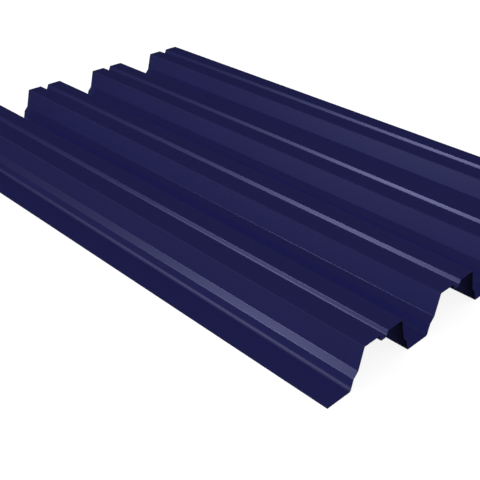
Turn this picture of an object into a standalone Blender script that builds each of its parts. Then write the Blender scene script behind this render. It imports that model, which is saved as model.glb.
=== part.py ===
"""A profiled steel sheet: thin coated steel, roll-formed into deep trapezoidal waves.

Metres, +Z up. The waves run along Y and follow one another along X. The origin is at the middle
of the sheet, on the level surface that its troughs lie on.

Widths and heights are those of the sheet's upper face, taken between the sharp corners that its
folds would have without their radii. The lower face is the upper one set back by the thickness.
"""

import math
from dataclasses import dataclass

import bmesh
import bpy
from mathutils import Vector

# The whole sheet
SHEET_LENGTH = 1.184
SHEET_THICKNESS = 0.0008
PROFILE_HEIGHT = 0.070  # from the underside of the troughs to the top of the crests
WAVE_COUNT = 4
WAVE_PITCH = 0.1875

# The flanges; the two webs of a wave share what these leave of the pitch
TROUGH_WIDTH = 0.050
CREST_WIDTH = 0.089

# The step along each web, between two straight runs that lean alike
STEP_HEIGHT = 0.0199  # from the trough's upper face to the step's lower fold
STEP_RISE = 0.0099
STEP_RUN = 0.0091

# The stiffening groove along the middle of each crest
GROOVE_TOP_WIDTH = 0.0206
GROOVE_BOTTOM_WIDTH = 0.0102
GROOVE_DEPTH = 0.011

# The folds, each measured on the inside of its bend; those at the foot of a wall are rounder
TROUGH_BEND_RADIUS = 0.003
STEP_BEND_RADIUS = 0.0005
CREST_BEND_RADIUS = 0.0005
GROOVE_TOP_BEND_RADIUS = 0.0005
GROOVE_FLOOR_BEND_RADIUS = 0.0025
BEND_SEGMENTS = 6
SMOOTH_BELOW_ANGLE = math.radians(30)

# The coating
COATING_COLOR = (0.0144, 0.0152, 0.0782, 1.0)  # ultramarine blue
COATING_ROUGHNESS = 0.38
COATING_METALLIC = 0.0


@dataclass(frozen=True)
class Fold:
    """A sharp corner of the upper face, and the inside radius that the sheet is bent to there."""

    across: float
    up: float
    radius: float

    def shifted(self, distance):
        """The same fold further along the section."""
        return Fold(self.across + distance, self.up, self.radius)

    def mirrored(self, width):
        """The fold that matches this one on the other half of a wave of this width."""
        return Fold(width - self.across, self.up, self.radius)

    def corner(self):
        return Vector((self.across, self.up))


def web_folds():
    """A rising web's folds, from the edge of its trough to the edge of its crest."""
    rise = PROFILE_HEIGHT - SHEET_THICKNESS
    run = (WAVE_PITCH - TROUGH_WIDTH - CREST_WIDTH) / 2
    lean = (run - STEP_RUN) / (rise - STEP_RISE)
    step_start = STEP_HEIGHT * lean
    return [
        Fold(0.0, 0.0, TROUGH_BEND_RADIUS),
        Fold(step_start, STEP_HEIGHT, STEP_BEND_RADIUS),
        Fold(step_start + STEP_RUN, STEP_HEIGHT + STEP_RISE, STEP_BEND_RADIUS),
        Fold(run, rise, CREST_BEND_RADIUS),
    ]


def groove_folds(crest_middle, crest_up):
    """The folds of the groove's left wall, from the crest down to the groove's floor."""
    floor_up = crest_up - GROOVE_DEPTH
    return [
        Fold(crest_middle - GROOVE_TOP_WIDTH / 2, crest_up, GROOVE_TOP_BEND_RADIUS),
        Fold(crest_middle - GROOVE_BOTTOM_WIDTH / 2, floor_up, GROOVE_FLOOR_BEND_RADIUS),
    ]


def wave_folds():
    """One wave's folds, from the edge of one trough over the crest to the edge of the next."""
    width = WAVE_PITCH - TROUGH_WIDTH
    rising = web_folds()
    rising += groove_folds(width / 2, rising[-1].up)
    falling = [fold.mirrored(width) for fold in reversed(rising)]
    return rising + falling


def section_folds():
    """The folds of the whole section, with the sheet's two side edges as its ends."""
    sheet_width = WAVE_COUNT * WAVE_PITCH + TROUGH_WIDTH
    left_edge = -sheet_width / 2
    folds = [Fold(left_edge, 0.0, 0.0)]
    for wave in range(WAVE_COUNT):
        wave_start = left_edge + TROUGH_WIDTH + wave * WAVE_PITCH
        folds += [fold.shifted(wave_start) for fold in wave_folds()]
    folds.append(Fold(-left_edge, 0.0, 0.0))
    return folds


def left_normal(direction):
    """The unit vector that points out of the upper face of a run in this direction."""
    return Vector((-direction.y, direction.x))


def bend_stations(before, fold, after):
    """Points of the upper face round one bend, each with the face's normal there."""
    incoming = (fold.corner() - before.corner()).normalized()
    outgoing = (after.corner() - fold.corner()).normalized()
    turn = math.atan2(incoming.cross(outgoing), incoming.dot(outgoing))
    upwards = turn > 0
    # The upper face is the inside of an upward bend and the outside of a downward one.
    radius = fold.radius if upwards else -(fold.radius + SHEET_THICKNESS)
    start = fold.corner() - incoming * (radius * math.tan(turn / 2))
    centre = start + left_normal(incoming) * radius
    first_angle = math.atan2(incoming.y, incoming.x)
    stations = []
    for segment in range(BEND_SEGMENTS + 1):
        angle = first_angle + turn * segment / BEND_SEGMENTS
        normal = left_normal(Vector((math.cos(angle), math.sin(angle))))
        stations.append((centre - normal * radius, normal))
    return stations


def section_stations():
    """The whole upper face across the sheet, as points with normals."""
    folds = section_folds()
    flat_normal = Vector((0.0, 1.0))
    stations = [(folds[0].corner(), flat_normal)]
    for before, fold, after in zip(folds, folds[1:], folds[2:]):
        stations += bend_stations(before, fold, after)
    stations.append((folds[-1].corner(), flat_normal))
    return stations


def sheet_mesh():
    """The section as a strip of faces one thickness deep, extruded over the sheet's length."""
    form = bmesh.new()
    near_end = -SHEET_LENGTH / 2
    rows = []
    for upper, normal in section_stations():
        lower = upper - normal * SHEET_THICKNESS
        rows.append(
            [form.verts.new((point.x, near_end, point.y + SHEET_THICKNESS)) for point in (upper, lower)]
        )
    for (upper, lower), (next_upper, next_lower) in zip(rows, rows[1:]):
        form.faces.new((upper, lower, next_lower, next_upper))
    extruded = bmesh.ops.extrude_face_region(form, geom=form.faces[:])
    far_end = [item for item in extruded["geom"] if isinstance(item, bmesh.types.BMVert)]
    bmesh.ops.translate(form, verts=far_end, vec=(0.0, SHEET_LENGTH, 0.0))
    bmesh.ops.recalc_face_normals(form, faces=form.faces[:])
    mesh = bpy.data.meshes.new("profiled_sheet")
    form.to_mesh(mesh)
    form.free()
    mesh.shade_smooth()
    mesh.set_sharp_from_angle(angle=SMOOTH_BELOW_ANGLE)
    return mesh


def coating_material():
    """The satin polymer coating on both faces of the sheet."""
    material = bpy.data.materials.new("blue_coating")
    material.use_nodes = True
    shader = material.node_tree.nodes["Principled BSDF"]
    shader.inputs["Base Color"].default_value = COATING_COLOR
    shader.inputs["Roughness"].default_value = COATING_ROUGHNESS
    shader.inputs["Metallic"].default_value = COATING_METALLIC
    return material


def clear_scene():
    for item in list(bpy.data.objects):
        bpy.data.objects.remove(item, do_unlink=True)


def main():
    clear_scene()
    sheet = bpy.data.objects.new("profiled_sheet", sheet_mesh())
    sheet.data.materials.append(coating_material())
    bpy.context.scene.collection.objects.link(sheet)


main()
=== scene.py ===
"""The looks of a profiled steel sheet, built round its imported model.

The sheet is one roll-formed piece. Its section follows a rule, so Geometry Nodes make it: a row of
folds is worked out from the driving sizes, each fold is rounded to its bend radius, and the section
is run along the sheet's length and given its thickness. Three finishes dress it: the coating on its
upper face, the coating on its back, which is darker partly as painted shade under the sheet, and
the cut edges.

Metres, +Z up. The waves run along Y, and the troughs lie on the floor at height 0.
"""

import logging
import math
from dataclasses import asdict, dataclass
from enum import Enum
from typing import Union

import bpy
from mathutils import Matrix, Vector


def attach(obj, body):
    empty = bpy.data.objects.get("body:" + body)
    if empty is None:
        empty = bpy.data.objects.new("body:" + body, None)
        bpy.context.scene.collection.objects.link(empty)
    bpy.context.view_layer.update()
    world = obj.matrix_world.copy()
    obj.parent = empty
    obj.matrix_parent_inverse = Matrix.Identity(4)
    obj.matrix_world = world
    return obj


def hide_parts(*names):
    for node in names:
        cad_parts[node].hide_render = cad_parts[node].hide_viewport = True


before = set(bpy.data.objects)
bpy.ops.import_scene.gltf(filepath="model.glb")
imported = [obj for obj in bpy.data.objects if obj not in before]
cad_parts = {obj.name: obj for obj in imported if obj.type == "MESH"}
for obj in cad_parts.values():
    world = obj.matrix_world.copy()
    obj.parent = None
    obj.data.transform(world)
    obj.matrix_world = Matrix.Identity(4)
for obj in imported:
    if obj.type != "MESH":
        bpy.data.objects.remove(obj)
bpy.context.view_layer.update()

LOG = logging.getLogger("profiled_sheet")

# The sheet's own name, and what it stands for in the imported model
PIECE = "coated_sheet"
CAD_NODE = "profiled_sheet"
BODY = "root"

# What the node tree stores on the sheet
OUTWARD = "outward"
SHADING = "shading"
FACE_KIND = "face_kind"
DULLING = "coat_dulling"

HALF = 0.5
UP = (0.0, 0.0, 1.0)
SIDE_EDGES = 2
MARGINS_PER_FOLD = 2
WELD_DISTANCE = 1e-6

# The Mix node's colour sockets
MIX_FIRST = 6
MIX_SECOND = 7
MIX_RESULT = 2

Socket = bpy.types.NodeSocket
Value = Union[Socket, float, int, bool, tuple]
TreeInputs = bpy.types.NodeOutputs
Triple = tuple[float, float, float]


class Face(Enum):
    """The kinds of surface that the formed sheet has, as stored on its faces."""

    UPPER = 0
    BACK = 1
    CUT = 2


class NodeSketch:
    """Adds nodes to one tree and links them, so that a formula reads as one call after another."""

    def __init__(self, tree: bpy.types.NodeTree) -> None:
        """Starts on a tree.

        Args:
            tree: The geometry or shader node tree that receives the nodes.
        """
        self.tree = tree

    def add(
        self, kind: str, inputs: dict[str | int, Value] | None = None, **settings: object
    ) -> bpy.types.Node:
        """Adds one node.

        Args:
            kind: Blender's name of the node type.
            inputs: Values or sockets for the node's inputs, by name or number.
            settings: Attributes of the node itself, such as its operation.

        Returns:
            The new node.
        """
        node = self.tree.nodes.new(kind)
        for name, value in settings.items():
            setattr(node, name, value)
        for name, value in (inputs or {}).items():
            self.feed(node.inputs[name], value)
        return node

    def feed(self, target: Socket, value: Value) -> None:
        """Fills one input.

        Args:
            target: The input.
            value: A socket to link into it, or a plain value to write there.
        """
        if isinstance(value, Socket):
            self.tree.links.new(value, target)
        elif target.type == "INT":
            target.default_value = int(value)
        else:
            target.default_value = value

    def math(self, operation: str, *values: Value, clamp: bool = False) -> Socket:
        """A scalar formula step.

        Args:
            operation: The Math node's operation.
            values: Its operands.
            clamp: Whether the result is kept between 0 and 1.

        Returns:
            The result's socket.
        """
        node = self.add("ShaderNodeMath", dict(enumerate(values)), operation=operation, use_clamp=clamp)
        return node.outputs[0]

    def vector(self, operation: str, *values: Value) -> Socket:
        """A vector formula step.

        Args:
            operation: The Vector Math node's operation.
            values: Its operands; the second one of SCALE is a number.

        Returns:
            The result's socket: a number for DOT_PRODUCT, and else a vector.
        """
        operands = dict(enumerate(values))
        if operation == "SCALE":
            operands = {0: values[0], "Scale": values[1]}
        node = self.add("ShaderNodeVectorMath", operands, operation=operation)
        return node.outputs["Value" if operation == "DOT_PRODUCT" else "Vector"]

    def combine(self, x: Value, y: Value, z: Value) -> Socket:
        """A vector from its three parts."""
        return self.add("ShaderNodeCombineXYZ", {0: x, 1: y, 2: z}).outputs[0]

    def parts(self, vector: Socket) -> list[Socket]:
        """A vector's three parts."""
        return list(self.add("ShaderNodeSeparateXYZ", {0: vector}).outputs)

    def same(self, first: Value, second: Value) -> Socket:
        """Whether two whole numbers are the same, as 0 or 1."""
        return self.math("COMPARE", first, second, HALF)

    def choose(self, index: Value, *values: Value) -> Socket:
        """Picks one number from a list.

        Args:
            index: The number's place in the list.
            values: The list.

        Returns:
            The number's socket.
        """
        node = self.add("GeometryNodeIndexSwitch", data_type="FLOAT")
        while len(node.index_switch_items) < len(values):
            node.index_switch_items.new()
        self.feed(node.inputs[0], index)
        for place, value in enumerate(values):
            self.feed(node.inputs[place + 1], value)
        return node.outputs[0]

    def either(self, test: Value, when_false: Value, when_true: Value) -> Socket:
        """One of two numbers, by a test that is 0 or 1."""
        return self.choose(test, when_false, when_true)

    def either_vector(self, test: Value, when_false: Value, when_true: Value) -> Socket:
        """One of two vectors, by a test that is 0 or 1."""
        inputs = {"Switch": test, "False": when_false, "True": when_true}
        return self.add("GeometryNodeSwitch", inputs, input_type="VECTOR").outputs[0]

    def stored(self, name: str, data_type: str = "FLOAT") -> Socket:
        """What is stored under this name."""
        return self.add("GeometryNodeInputNamedAttribute", {"Name": name}, data_type=data_type).outputs[0]

    def store(
        self, geometry: Socket, name: str, value: Value, data_type: str = "FLOAT", domain: str = "POINT"
    ) -> Socket:
        """Stores a value on each point or face.

        Args:
            geometry: What receives the values.
            name: The name that they are stored under.
            value: The value.
            data_type: Its type.
            domain: Whether points or faces receive it.

        Returns:
            The geometry with the values on it.
        """
        inputs = {"Geometry": geometry, "Name": name, "Value": value}
        node = self.add("GeometryNodeStoreNamedAttribute", inputs, data_type=data_type, domain=domain)
        return node.outputs[0]

    def sample(self, geometry: Socket, value: Socket, index: Socket, data_type: str = "FLOAT") -> Socket:
        """The value that the point with this number has."""
        inputs = {"Geometry": geometry, "Value": value, "Index": index}
        return self.add("GeometryNodeSampleIndex", inputs, data_type=data_type, clamp=True).outputs[0]

    def noise(self, place: Socket, scale: float, detail: float, roughness: float = 0.5) -> Socket:
        """A noise pattern about a mean of a half.

        Args:
            place: Where the pattern is read.
            scale: How many of its coarsest features lie in one unit of that place.
            detail: How many finer layers it has.
            roughness: How strong each finer layer is.

        Returns:
            The pattern's value.
        """
        inputs = {"Vector": place, "Scale": scale, "Detail": detail, "Roughness": roughness}
        return self.add("ShaderNodeTexNoise", inputs).outputs[0]

    def by_ray(self, seen: Socket, gloss: Socket, other: Socket) -> Socket:
        """Shows different shaders to different rays.

        Args:
            seen: The shader for camera and transmission rays.
            gloss: The shader for gloss rays.
            other: The shader for the rest.

        Returns:
            The mixed shader.
        """
        path = self.add("ShaderNodeLightPath").outputs
        straight = self.math("MAXIMUM", path["Is Camera Ray"], path["Is Transmission Ray"])
        indirect = self.add("ShaderNodeMixShader", {0: path["Is Glossy Ray"], 1: other, 2: gloss})
        return self.add("ShaderNodeMixShader", {0: straight, 1: indirect.outputs[0], 2: seen}).outputs[0]


def started_material(name: str) -> tuple[bpy.types.Material, NodeSketch, bpy.types.Node]:
    """Starts a material.

    Args:
        name: The material's name.

    Returns:
        The material, a sketch of its node tree, and its shader node.
    """
    material = bpy.data.materials.new(name)
    material.use_nodes = True
    tree = material.node_tree
    return material, NodeSketch(tree), tree.nodes["Principled BSDF"]


def linked_object(name: str, data: bpy.types.ID) -> bpy.types.Object:
    """Adds an object to the scene.

    Args:
        name: The object's name.
        data: Its mesh, light or camera.

    Returns:
        The object.
    """
    item = bpy.data.objects.new(name, data)
    bpy.context.scene.collection.objects.link(item)
    return item


def hang(lamp: bpy.types.Object, place: Vector) -> None:
    """Hangs a lamp and turns it towards the sheet's middle.

    Args:
        lamp: The lamp.
        place: Where it hangs.
    """
    lamp.location = place
    lamp.rotation_mode = "QUATERNION"
    lamp.rotation_quaternion = place.to_track_quat("Z", "Y")


@dataclass(frozen=True)
class SheetSizes:
    """The sheet's driving sizes, and how its folds are drawn.

    Lengths are in metres. Widths and heights are the upper face's, between sharp corners.
    """

    length: float = 1.184
    thickness: float = 0.0008
    profile_height: float = 0.070
    wave_count: int = 4
    wave_pitch: float = 0.1875
    trough_width: float = 0.050
    crest_width: float = 0.089
    step_height: float = 0.0199
    step_rise: float = 0.0099
    step_run: float = 0.0091
    groove_top_width: float = 0.0206
    groove_bottom_width: float = 0.0102
    groove_depth: float = 0.011

    # The inside radius of each bend
    trough_bend: float = 0.003
    step_bend: float = 0.0005
    crest_bend: float = 0.0005
    groove_top_bend: float = 0.0005
    groove_floor_bend: float = 0.0025

    # How far past a bend its shading still turns
    trough_blend: float = 0.0061
    groove_wall_blend: float = 0.0045
    groove_floor_blend: float = 0.003
    flat_margin: float = 0.0004

    # How many times faster than its bend the shading of a crest's edge turns
    crest_crispness: float = 8.0

    # What the stretching of the coat adds to its roughness
    foot_dulling: float = 0.18
    crest_dulling: float = 0.5

    # How many flat parts a bend, and the sheet's length, are drawn in
    bend_segments: int = 3
    length_segments: int = 24


@dataclass(frozen=True)
class CoatFinish:
    """A stoved polymer coating with a fine orange peel and faint marks of the forming rolls.

    Scales are counts in a metre, a change is how far a value strays from its mean, and the peel's
    size and depth are in metres.
    """

    name: str
    color: Triple
    roughness: float
    roughness_change: float = 0.03
    specular: float = 0.5
    shade_scale: float = 7.0
    shade_detail: float = 4.0
    shade_change: float = 0.05
    streak_scales: Triple = (420.0, 3.0, 420.0)
    streak_detail: float = 3.0
    streak_change: float = 0.04
    peel_size: float = 0.0016
    peel_depth: float = 0.000004
    peel_detail: float = 3.0
    peel_raggedness: float = 0.55

    def material(self) -> bpy.types.Material:
        """Builds the finish.

        Returns:
            The material, patterned in object coordinates and duller where the sheet says so.
        """
        material, sketch, shader = started_material(self.name)
        place = sketch.add("ShaderNodeTexCoord").outputs["Object"]
        shade = sketch.noise(place, self.shade_scale, self.shade_detail)
        drawn_out = sketch.add("ShaderNodeMapping", {"Vector": place, "Scale": self.streak_scales})
        streaks = sketch.noise(drawn_out.outputs[0], 1.0, self.streak_detail)
        brightness = sketch.math(
            "ADD",
            sketch.math("MULTIPLY_ADD", shade, 2 * self.shade_change, 1 - self.shade_change),
            sketch.math("MULTIPLY_ADD", streaks, 2 * self.streak_change, -self.streak_change),
        )
        sketch.feed(shader.inputs["Base Color"], sketch.vector("SCALE", self.color, brightness))
        grain = sketch.noise(place, 1 / self.peel_size, self.peel_detail, self.peel_raggedness)
        flat_roughness = sketch.math(
            "MULTIPLY_ADD", grain, 2 * self.roughness_change, self.roughness - self.roughness_change
        )
        dulling = sketch.add("ShaderNodeAttribute", attribute_name=DULLING).outputs["Fac"]
        sketch.feed(shader.inputs["Roughness"], sketch.math("ADD", flat_roughness, dulling))
        bump = sketch.add("ShaderNodeBump", {"Height": grain, "Strength": 1.0, "Distance": self.peel_depth})
        sketch.feed(shader.inputs["Normal"], bump.outputs[0])
        shader.inputs["Specular IOR Level"].default_value = self.specular
        return material


@dataclass(frozen=True)
class CutEdgeFinish:
    """A sheared edge: dull zinc and steel between the two coatings."""

    name: str = "cut_edge"
    core_color: Triple = (0.045, 0.05, 0.075)
    coat_color: Triple = (0.0144, 0.0152, 0.0782)
    metallic: float = 0.3
    roughness: float = 0.5
    roughness_change: float = 0.1
    mark_scale: float = 900.0
    mark_detail: float = 3.0

    def material(self) -> bpy.types.Material:
        """Builds the finish.

        Returns:
            The material, with shear marks in object coordinates.
        """
        material, sketch, shader = started_material(self.name)
        place = sketch.add("ShaderNodeTexCoord").outputs["Object"]
        marks = sketch.noise(place, self.mark_scale, self.mark_detail)
        tones = {MIX_FIRST: (*self.coat_color, 1.0), MIX_SECOND: (*self.core_color, 1.0)}
        mix = sketch.add("ShaderNodeMix", {"Factor": marks, **tones}, data_type="RGBA")
        sketch.feed(shader.inputs["Base Color"], mix.outputs[MIX_RESULT])
        roughness = sketch.math(
            "MULTIPLY_ADD", marks, 2 * self.roughness_change, self.roughness - self.roughness_change
        )
        sketch.feed(shader.inputs["Roughness"], roughness)
        shader.inputs["Metallic"].default_value = self.metallic
        return material


@dataclass(frozen=True)
class BendPlace:
    """Where one column of the sheet's skin lies on its fold.

    Attributes:
        fold: The fold's number, counted from the left edge.
        share: How far round the bend the column lies, from 0 to 1.
        margin: How far past the bend it lies, less than 0 before the bend.
        on_bend: Whether it lies on the bend itself, as 0 or 1.
        corner: The fold's sharp corner.
        incoming: The direction of the run that leads to it.
        in_angle: That direction's slope, in radians.
        turn: How far the fold turns, in radians, more than 0 upwards.
        radius: The upper face's radius round the bend, with the sign of the turn.
        setback: How far from the corner the bend starts and ends.
    """

    fold: Socket
    share: Socket
    margin: Socket
    on_bend: Socket
    corner: Socket
    incoming: Socket
    in_angle: Socket
    turn: Socket
    radius: Socket
    setback: Socket


@dataclass
class ProfiledSheet:
    """The roll-formed sheet: its node tree, its mesh and its finishes."""

    sizes: SheetSizes = SheetSizes()
    upper_coat: CoatFinish = CoatFinish("upper_coating", (0.0119, 0.0124, 0.0752), 0.37)
    # The back coating is a real backing coat, but part of its darkness is painted shade for the shadow
    # under the sheet.
    back_coat_with_painted_shade: CoatFinish = CoatFinish("back_coating_with_painted_shade", (0.0062, 0.0066, 0.032), 0.5)
    cut_edge: CutEdgeFinish = CutEdgeFinish()

    def tree(self) -> bpy.types.NodeTree:
        """Writes the node tree that forms the sheet.

        Returns:
            The tree, with one named input for each size and each finish.
        """
        tree = bpy.data.node_groups.new("profiled_sheet_form", "GeometryNodeTree")
        interface = tree.interface
        interface.new_socket("Geometry", in_out="INPUT", socket_type="NodeSocketGeometry")
        for name, size in asdict(self.sizes).items():
            socket_type = "NodeSocketInt" if isinstance(size, int) else "NodeSocketFloat"
            interface.new_socket(name, in_out="INPUT", socket_type=socket_type)
        for kind in Face:
            interface.new_socket(kind.name.lower(), in_out="INPUT", socket_type="NodeSocketMaterial")
        interface.new_socket("Geometry", in_out="OUTPUT", socket_type="NodeSocketGeometry")
        sketch = NodeSketch(tree)
        given = sketch.add("NodeGroupInput").outputs
        folds = self.fold_points(sketch, given)
        skin = self.rounded_skin(sketch, given, folds)
        solid = self.thickened(sketch, given, skin)
        whole = sketch.add("GeometryNodeRealizeInstances", {"Geometry": solid}).outputs[0]
        stored_kind = sketch.stored(FACE_KIND, "INT")
        for kind in Face:
            chosen = sketch.same(stored_kind, kind.value)
            dressed = {"Geometry": whole, "Selection": chosen, "Material": given[kind.name.lower()]}
            whole = sketch.add("GeometryNodeSetMaterial", dressed).outputs[0]
        sketch.add("NodeGroupOutput", {0: whole})
        return tree

    @staticmethod
    def rising_folds(
        sketch: NodeSketch, given: TreeInputs, width: Socket
    ) -> dict[str, tuple[Value, ...]]:
        """Works out the folds of a wave's rising half, from its trough to its groove's floor.

        Args:
            sketch: The tree being written.
            given: The tree's inputs.
            width: The wave's width, from trough to trough.

        Returns:
            Each property of the folds, as one value for each fold.
        """
        rise = sketch.math("SUBTRACT", given["profile_height"], given["thickness"])
        web_run = sketch.math("MULTIPLY", sketch.math("SUBTRACT", width, given["crest_width"]), HALF)
        lean = sketch.math(
            "DIVIDE",
            sketch.math("SUBTRACT", web_run, given["step_run"]),
            sketch.math("SUBTRACT", rise, given["step_rise"]),
        )
        step_start = sketch.math("MULTIPLY", given["step_height"], lean)
        crest_middle = sketch.math("MULTIPLY", width, HALF)
        foot = given["foot_dulling"]
        narrow = given["flat_margin"]
        return {
            "across": (
                0.0,
                step_start,
                sketch.math("ADD", step_start, given["step_run"]),
                web_run,
                sketch.math("MULTIPLY_ADD", given["groove_top_width"], -HALF, crest_middle),
                sketch.math("MULTIPLY_ADD", given["groove_bottom_width"], -HALF, crest_middle),
            ),
            "up": (
                0.0,
                given["step_height"],
                sketch.math("ADD", given["step_height"], given["step_rise"]),
                rise,
                rise,
                sketch.math("SUBTRACT", rise, given["groove_depth"]),
            ),
            "bend": (
                given["trough_bend"],
                given["step_bend"],
                given["step_bend"],
                given["crest_bend"],
                given["groove_top_bend"],
                given["groove_floor_bend"],
            ),
            "crispness": (1.0, 1.0, 1.0, given["crest_crispness"], 1.0, 1.0),
            "dulling": (foot, 0.0, 0.0, given["crest_dulling"], 0.0, foot),
            # Past its bend, the shading turns on up a wall from its foot, and onto a groove's floor.
            "margin_before": (narrow, narrow, narrow, narrow, narrow, given["groove_wall_blend"]),
            "margin_after": (
                given["trough_blend"], narrow, narrow, narrow, narrow, given["groove_floor_blend"]
            ),
        }

    def fold_points(self, sketch: NodeSketch, given: TreeInputs) -> Socket:
        """Lays out one point for each fold, from the left edge to the right edge.

        Args:
            sketch: The tree being written.
            given: The tree's inputs.

        Returns:
            The points, each with its bend, its shading and its margins stored on it.
        """
        width = sketch.math("SUBTRACT", given["wave_pitch"], given["trough_width"])
        rising = self.rising_folds(sketch, given, width)
        rising_count = len(rising["across"])
        wave_folds = 2 * rising_count
        place = sketch.add("GeometryNodeInputIndex").outputs[0]
        inner = sketch.math("SUBTRACT", place, 1)
        wave = sketch.math("FLOOR", sketch.math("DIVIDE", inner, wave_folds))
        in_wave = sketch.math("MULTIPLY_ADD", wave, -wave_folds, inner)
        falling = sketch.math("GREATER_THAN", in_wave, rising_count - HALF)
        key = sketch.either(falling, in_wave, sketch.math("SUBTRACT", wave_folds - 1, in_wave))
        here = {name: sketch.choose(key, *values) for name, values in rising.items()}
        mirrored = sketch.math("SUBTRACT", width, here["across"])
        in_wave_across = sketch.either(falling, here["across"], mirrored)
        total = sketch.math(
            "MULTIPLY_ADD", given["wave_count"], given["wave_pitch"], given["trough_width"]
        )
        left = sketch.math("MULTIPLY", total, -HALF)
        right = sketch.math("MULTIPLY", left, -1)
        wave_start = sketch.math(
            "ADD",
            sketch.math("ADD", left, given["trough_width"]),
            sketch.math("MULTIPLY", wave, given["wave_pitch"]),
        )
        count = sketch.math("MULTIPLY_ADD", given["wave_count"], wave_folds, SIDE_EDGES)
        at_left = sketch.same(place, 0)
        at_right = sketch.same(place, sketch.math("SUBTRACT", count, 1))
        at_edge = sketch.math("MAXIMUM", at_left, at_right)
        inner_across = sketch.math("ADD", wave_start, in_wave_across)
        across = sketch.either(at_edge, inner_across, sketch.either(at_right, left, right))
        up = sketch.either(at_edge, here["up"], 0.0)
        position = sketch.combine(across, 0.0, up)
        points = sketch.add("GeometryNodePoints", {"Count": count, "Position": position}).outputs[0]
        before, after = here["margin_before"], here["margin_after"]
        kept = {
            "bend": here["bend"],
            "crispness": here["crispness"],
            "dulling": here["dulling"],
            "margin_before": sketch.either(falling, before, after),
            "margin_after": sketch.either(falling, after, before),
        }
        for name, value in kept.items():
            points = sketch.store(points, name, value)
        return points

    def bend_place(
        self, sketch: NodeSketch, given: TreeInputs, folds: Socket, column: Socket, per_fold: Socket
    ) -> BendPlace:
        """Finds a column's fold, and where on that fold it lies.

        Args:
            sketch: The tree being written.
            given: The tree's inputs.
            folds: The fold points.
            column: The column's number, counted from the left edge.
            per_fold: How many columns each fold has.

        Returns:
            The column's place.
        """
        inner = sketch.math("SUBTRACT", column, 1)
        earlier = sketch.math("FLOOR", sketch.math("DIVIDE", inner, per_fold))
        fold = sketch.math("ADD", earlier, 1)
        in_fold = sketch.math("SUBTRACT", inner, sketch.math("MULTIPLY", earlier, per_fold))
        past_margin = sketch.math("SUBTRACT", in_fold, 1)
        share = sketch.math("DIVIDE", past_margin, given["bend_segments"], clamp=True)
        first = sketch.same(in_fold, 0)
        last = sketch.same(in_fold, sketch.math("SUBTRACT", per_fold, 1))
        margin = sketch.math(
            "SUBTRACT",
            sketch.math("MULTIPLY", last, self.fold_value(sketch, folds, "margin_after", fold)),
            sketch.math("MULTIPLY", first, self.fold_value(sketch, folds, "margin_before", fold)),
        )
        on_bend = sketch.math("SUBTRACT", 1, sketch.math("MAXIMUM", first, last))
        before, corner, after = (
            self.fold_corner(sketch, folds, sketch.math("ADD", fold, step)) for step in (-1, 0, 1)
        )
        incoming = sketch.vector("NORMALIZE", sketch.vector("SUBTRACT", corner, before))
        outgoing = sketch.vector("NORMALIZE", sketch.vector("SUBTRACT", after, corner))
        in_x, _, in_z = sketch.parts(incoming)
        out_x, _, out_z = sketch.parts(outgoing)
        cross = sketch.math(
            "SUBTRACT", sketch.math("MULTIPLY", in_x, out_z), sketch.math("MULTIPLY", in_z, out_x)
        )
        turn = sketch.math("ARCTAN2", cross, sketch.vector("DOT_PRODUCT", incoming, outgoing))
        # The upper face is the inside of an upward bend and the outside of a downward one.
        inside = self.fold_value(sketch, folds, "bend", fold)
        outside = sketch.math("MULTIPLY", sketch.math("ADD", inside, given["thickness"]), -1)
        radius = sketch.either(sketch.math("GREATER_THAN", turn, 0), outside, inside)
        half_turn = sketch.math("MULTIPLY", turn, HALF)
        return BendPlace(
            fold=fold,
            share=share,
            margin=margin,
            on_bend=on_bend,
            corner=corner,
            incoming=incoming,
            in_angle=sketch.math("ARCTAN2", in_z, in_x),
            turn=turn,
            radius=radius,
            setback=sketch.math("MULTIPLY", radius, sketch.math("TANGENT", half_turn)),
        )

    @staticmethod
    def rounded(sketch: NodeSketch, at: BendPlace) -> tuple[Socket, Socket]:
        """Places a column on its bend, or on the straight run beside it.

        Args:
            sketch: The tree being written.
            at: Where on its fold the column lies.

        Returns:
            The column's point of the section, and the outward direction there.
        """
        start = sketch.vector("SUBTRACT", at.corner, sketch.vector("SCALE", at.incoming, at.setback))
        in_x, _, in_z = sketch.parts(at.incoming)
        in_normal = sketch.combine(sketch.math("MULTIPLY", in_z, -1), 0.0, in_x)
        centre = sketch.vector("ADD", start, sketch.vector("SCALE", in_normal, at.radius))
        angle = sketch.math("MULTIPLY_ADD", at.turn, at.share, at.in_angle)
        cosine = sketch.math("COSINE", angle)
        sine = sketch.math("SINE", angle)
        heading = sketch.combine(cosine, 0.0, sine)
        outward = sketch.combine(sketch.math("MULTIPLY", sine, -1), 0.0, cosine)
        on_arc = sketch.vector("SUBTRACT", centre, sketch.vector("SCALE", outward, at.radius))
        return sketch.vector("ADD", on_arc, sketch.vector("SCALE", heading, at.margin)), outward

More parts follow.
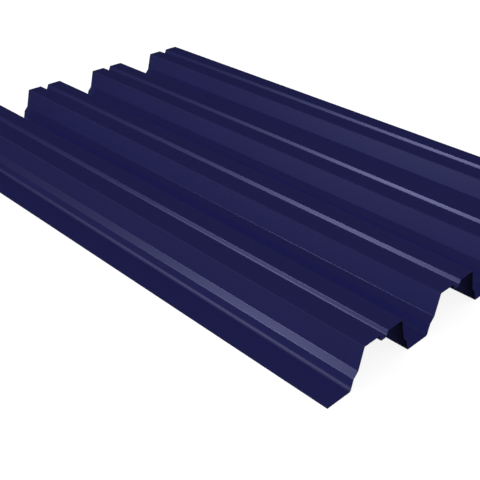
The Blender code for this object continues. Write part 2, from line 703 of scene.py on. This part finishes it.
    def shading_direction(self, sketch: NodeSketch, folds: Socket, at: BendPlace) -> Socket:
        """Turns the shading over a bend and its margins, at its own pace on each side of the corner.

        Args:
            sketch: The tree being written.
            folds: The fold points.
            at: Where on its fold the column lies.

        Returns:
            The direction that the column is shaded by.
        """
        round_corner = sketch.math("MULTIPLY_ADD", at.share, 2, -1)
        past_corner = sketch.math("MULTIPLY_ADD", at.setback, round_corner, at.margin)
        reach_before, reach_after = (
            sketch.math("ADD", at.setback, self.fold_value(sketch, folds, name, at.fold))
            for name in ("margin_before", "margin_after")
        )
        covered = sketch.math("ADD", past_corner, reach_before)
        to_corner = sketch.math("DIVIDE", covered, reach_before, clamp=True)
        from_corner = sketch.math("DIVIDE", past_corner, reach_after, clamp=True)
        from_middle = sketch.math(
            "MULTIPLY_ADD", sketch.math("ADD", to_corner, from_corner), HALF, -HALF
        )
        crispness = self.fold_value(sketch, folds, "crispness", at.fold)
        share = sketch.math("MULTIPLY_ADD", from_middle, crispness, HALF, clamp=True)
        angle = sketch.math("MULTIPLY_ADD", at.turn, share, at.in_angle)
        sine = sketch.math("SINE", angle)
        return sketch.combine(sketch.math("MULTIPLY", sine, -1), 0.0, sketch.math("COSINE", angle))

    def rounded_skin(self, sketch: NodeSketch, given: TreeInputs, folds: Socket) -> Socket:
        """Rounds each fold and runs the section along the sheet's length.

        Args:
            sketch: The tree being written.
            given: The tree's inputs.
            folds: The fold points.

        Returns:
            The upper face as a grid, with its directions and the coat's dulling stored on its points.
        """
        fold_count = sketch.add(
            "GeometryNodeAttributeDomainSize", {0: folds}, component="POINTCLOUD"
        ).outputs[0]
        inner_folds = sketch.math("SUBTRACT", fold_count, SIDE_EDGES)
        per_fold = sketch.math("ADD", given["bend_segments"], 1 + MARGINS_PER_FOLD)
        columns = sketch.math("MULTIPLY_ADD", inner_folds, per_fold, SIDE_EDGES)
        rows = sketch.math("ADD", given["length_segments"], 1)
        grid_width = sketch.math("SUBTRACT", columns, 1)
        grid = sketch.add(
            "GeometryNodeMeshGrid",
            {"Size X": grid_width, "Size Y": given["length"], "Vertices X": columns, "Vertices Y": rows},
        ).outputs["Mesh"]
        # The flat grid's columns lie a metre apart about 0, so a point's place gives its column.
        grid_x, along, _ = sketch.parts(sketch.add("GeometryNodeInputPosition").outputs[0])
        column = sketch.math("ROUND", sketch.math("MULTIPLY_ADD", grid_width, HALF, grid_x))
        at = self.bend_place(sketch, given, folds, column, per_fold)
        rounded, outward = self.rounded(sketch, at)
        shading = self.shading_direction(sketch, folds, at)
        dulling = sketch.math("MULTIPLY", at.on_bend, self.fold_value(sketch, folds, "dulling", at.fold))
        at_left = sketch.same(column, 0)
        at_right = sketch.same(column, grid_width)
        at_edge = sketch.math("MAXIMUM", at_left, at_right)
        edge_fold = sketch.math("MULTIPLY", at_right, sketch.math("SUBTRACT", fold_count, 1))
        edge = self.fold_corner(sketch, folds, edge_fold)
        section = sketch.either_vector(at_edge, rounded, edge)
        place = sketch.vector("ADD", section, sketch.combine(0.0, along, given["thickness"]))
        # The stored values read the flat grid's places, so they are written before those change.
        for name, direction in ((OUTWARD, outward), (SHADING, shading)):
            value = sketch.either_vector(at_edge, direction, UP)
            grid = sketch.store(grid, name, value, "FLOAT_VECTOR")
        grid = sketch.store(grid, DULLING, sketch.either(at_edge, dulling, 0.0))
        return sketch.add("GeometryNodeSetPosition", {"Geometry": grid, "Position": place}).outputs[0]

    def thickened(self, sketch: NodeSketch, given: TreeInputs, skin: Socket) -> Socket:
        """Gives the upper face its back and its cut edges.

        Args:
            sketch: The tree being written.
            given: The tree's inputs.
            skin: The upper face.

        Returns:
            The closed sheet, with the kind of each face stored on it and its shading set.
        """
        outward = sketch.stored(OUTWARD, "FLOAT_VECTOR")
        extruded = sketch.add(
            "GeometryNodeExtrudeMesh",
            {"Mesh": skin, "Offset Scale": 0.0, "Individual": False},
            mode="FACES",
        ).outputs
        depth = sketch.vector("SCALE", outward, sketch.math("MULTIPLY", given["thickness"], -1))
        moved = {"Geometry": extruded["Mesh"], "Selection": extruded["Top"], "Offset": depth}
        set_back = sketch.add("GeometryNodeSetPosition", moved).outputs[0]
        back_kind = sketch.either(extruded["Side"], float(Face.BACK.value), float(Face.CUT.value))
        back = self.kind_stored(sketch, set_back, back_kind)
        back = sketch.add("GeometryNodeFlipFaces", {"Mesh": back}).outputs[0]
        joined = sketch.add("GeometryNodeJoinGeometry")
        sketch.feed(joined.inputs[0], self.kind_stored(sketch, skin, float(Face.UPPER.value)))
        sketch.feed(joined.inputs[0], back)
        welded = {"Geometry": joined.outputs[0], "Distance": WELD_DISTANCE}
        closed = sketch.add("GeometryNodeMergeByDistance", welded).outputs[0]
        smoothed = {"Geometry": closed, "Shade Smooth": True}
        smooth = sketch.add("GeometryNodeSetShadeSmooth", smoothed).outputs[0]
        kind = sketch.stored(FACE_KIND, "INT")
        inward = sketch.vector("SCALE", outward, -1)
        coated = sketch.either_vector(
            sketch.same(kind, Face.BACK.value), sketch.stored(SHADING, "FLOAT_VECTOR"), inward
        )
        square = sketch.add("GeometryNodeInputNormal").outputs["True Normal"]
        facing = sketch.either_vector(sketch.same(kind, Face.CUT.value), coated, square)
        return sketch.add(
            "GeometryNodeSetMeshNormal",
            {"Mesh": smooth, "Custom Normal": facing},
            mode="FREE",
            domain="CORNER",
        ).outputs[0]

    @staticmethod
    def fold_corner(sketch: NodeSketch, folds: Socket, index: Socket) -> Socket:
        """The sharp corner of the fold with this number."""
        position = sketch.add("GeometryNodeInputPosition").outputs[0]
        return sketch.sample(folds, position, index, "FLOAT_VECTOR")

    @staticmethod
    def fold_value(sketch: NodeSketch, folds: Socket, name: str, index: Socket) -> Socket:
        """The number stored under this name on the fold with this number."""
        return sketch.sample(folds, sketch.stored(name), index)

    @staticmethod
    def kind_stored(sketch: NodeSketch, mesh: Socket, kind: Value) -> Socket:
        """The mesh with this kind stored on its faces."""
        return sketch.store(mesh, FACE_KIND, kind, "INT", "FACE")

    def build(self) -> bpy.types.Object:
        """Forms the sheet and turns it into a plain mesh.

        Returns:
            The finished object, at the origin.
        """
        tree = self.tree()
        holder = linked_object("sheet_form", bpy.data.meshes.new("sheet_form"))
        modifier = holder.modifiers.new("form", "NODES")
        modifier.node_group = tree
        finishes = {Face.UPPER: self.upper_coat, Face.BACK: self.back_coat_with_painted_shade, Face.CUT: self.cut_edge}
        values = asdict(self.sizes)
        values |= {kind.name.lower(): finish.material() for kind, finish in finishes.items()}
        for item in tree.interface.items_tree:
            if item.in_out == "INPUT" and item.name in values:
                modifier[item.identifier] = values[item.name]
        bpy.context.view_layer.update()
        evaluated = holder.evaluated_get(bpy.context.evaluated_depsgraph_get())
        mesh = bpy.data.meshes.new_from_object(evaluated)
        mesh.name = PIECE
        bpy.data.objects.remove(holder)
        for name in (OUTWARD, SHADING, FACE_KIND):
            mesh.attributes.remove(mesh.attributes[name])
        sheet = linked_object(PIECE, mesh)
        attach(sheet, BODY)
        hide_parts(CAD_NODE)
        return sheet


@dataclass(frozen=True)
class FillLight:
    """The light that comes from all over one side of a white studio: it gives no shadow and no gloss.

    Its turn and its height above the horizon are in degrees. At strength 1 it shows a colour as
    written on a face turned straight to it.
    """

    name: str
    turn: float
    height: float
    strength: float

    def build(self) -> None:
        """Adds the light."""
        light = bpy.data.lights.new(self.name, "SUN")
        light.energy = self.strength * math.pi
        light.use_shadow = False
        lamp = linked_object(self.name, light)
        lamp.visible_glossy = False
        turn = math.radians(self.turn)
        height = math.radians(self.height)
        level = math.cos(height)
        hang(lamp, Vector((level * math.cos(turn), level * math.sin(turn), math.sin(height))))


@dataclass(frozen=True)
class GlintLamp:
    """A small far lamp that only the coat's gloss shows, and that no reflection passes on.

    Its place and size are in metres and its power is in watts.
    """

    name: str = "glint_lamp"
    place: Triple = (-2.8, 1.3, 1.22)
    size: float = 0.06
    power: float = 53.0
    color: Triple = (0.54, 0.56, 1.0)

    def build(self) -> None:
        """Adds the lamp."""
        light = bpy.data.lights.new(self.name, "AREA")
        light.shape = "SQUARE"
        light.size = self.size
        light.energy = self.power
        light.color = self.color
        light.cycles.max_bounces = 0
        lamp = linked_object(self.name, light)
        lamp.visible_diffuse = False
        hang(lamp, Vector(self.place))


@dataclass
class Studio:
    """The pale floor, the plain light and the camera.

    Lengths are in metres and angles in degrees. Shades, ambients and bounces go from 0, black, to 1,
    white, and the sensor is measured in millimetres.
    """

    floor_half_width: float = 12.0
    floor_drop: float = 0.0003
    floor_shade: float = 0.5
    floor_white: float = 0.58
    floor_bounce: float = 0.2
    white: float = 1.0
    ambient: float = 0.4
    gloss_ambient: float = 0.01
    camera_place: Triple = (-1.089998, -1.130126, 0.810624)
    camera_tilt_down: float = 31.569
    camera_turn: float = 43.998
    camera_focal_pixels: float = 828.614
    camera_reach: tuple[float, float] = (0.01, 100.0)
    picture_pixels: int = 480
    sensor_width: float = 36.0
    lamps: tuple[FillLight | GlintLamp, ...] = (
        FillLight("left_fill", turn=-170.0, height=10.0, strength=0.7),
        FillLight("right_fill", turn=38.0, height=45.0, strength=0.63),
        FillLight("rear_fill", turn=25.0, height=0.0, strength=0.6),
        GlintLamp(),
    )

    def build_floor(self) -> None:
        """Lays the floor: white to the camera but for the sheet's soft shadow, and darker to other rays."""
        half = self.floor_half_width
        mesh = bpy.data.meshes.new("floor")
        corners = [(-half, -half), (half, -half), (half, half), (-half, half)]
        mesh.from_pydata([(x, y, -self.floor_drop) for x, y in corners], [], [(0, 1, 2, 3)])
        floor = linked_object("floor", mesh)
        material, sketch, _ = started_material("pale_floor")
        material.node_tree.nodes.clear()
        lit, bounce = (
            sketch.add("ShaderNodeBsdfDiffuse", {"Color": (tone, tone, tone, 1.0)}).outputs[0]
            for tone in (self.floor_shade, self.floor_bounce)
        )
        glow, dim = (
            sketch.add("ShaderNodeEmission", {"Color": (tone, tone, tone, 1.0)}).outputs[0]
            for tone in (self.floor_white, self.gloss_ambient)
        )
        white = sketch.add("ShaderNodeAddShader", {0: lit, 1: glow}).outputs[0]
        surface = sketch.by_ray(seen=white, gloss=dim, other=bounce)
        sketch.add("ShaderNodeOutputMaterial", {"Surface": surface})
        mesh.materials.append(material)

    def build_world(self) -> None:
        """Fills the surroundings: white behind the object, an even light on it, and little in its gloss.

        The coat is a plain dielectric and the photograph shows none of the surroundings in it, so a
        gloss ray meets a dim world: a white one would be light added all over the sheet.
        """
        world = bpy.data.worlds.new("studio")
        bpy.context.scene.world = world
        world.use_nodes = True
        world.node_tree.nodes.clear()
        sketch = NodeSketch(world.node_tree)
        white, dim, soft = (
            sketch.add("ShaderNodeBackground", {"Color": (1.0, 1.0, 1.0, 1.0), "Strength": strength})
            for strength in (self.white, self.gloss_ambient, self.ambient)
        )
        surface = sketch.by_ray(seen=white.outputs[0], gloss=dim.outputs[0], other=soft.outputs[0])
        sketch.add("ShaderNodeOutputWorld", {"Surface": surface})

    def build_camera(self) -> None:
        """Places the camera where the photograph's perspective puts it."""
        data = bpy.data.cameras.new("camera")
        data.sensor_width = self.sensor_width
        data.lens = self.camera_focal_pixels * self.sensor_width / self.picture_pixels
        data.clip_start, data.clip_end = self.camera_reach
        camera = linked_object("camera", data)
        camera.location = self.camera_place
        tilt_from_below = math.radians(90 - self.camera_tilt_down)
        camera.rotation_euler = (tilt_from_below, 0.0, math.radians(-self.camera_turn))
        bpy.context.scene.camera = camera

    def build(self) -> None:
        """Sets up the floor, the light and the camera."""
        bpy.context.scene.view_settings.view_transform = "Standard"
        self.build_floor()
        self.build_world()
        self.build_camera()
        for lamp in self.lamps:
            lamp.build()


def main() -> None:
    """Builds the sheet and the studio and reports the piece."""
    logging.basicConfig(level=logging.INFO, format="%(name)s: %(message)s")
    sheet = ProfiledSheet().build()
    mesh = sheet.data
    LOG.info("%s: %d vertices, %d faces", sheet.name, len(mesh.vertices), len(mesh.polygons))
    Studio().build()


if __name__ == "__main__":
    main()
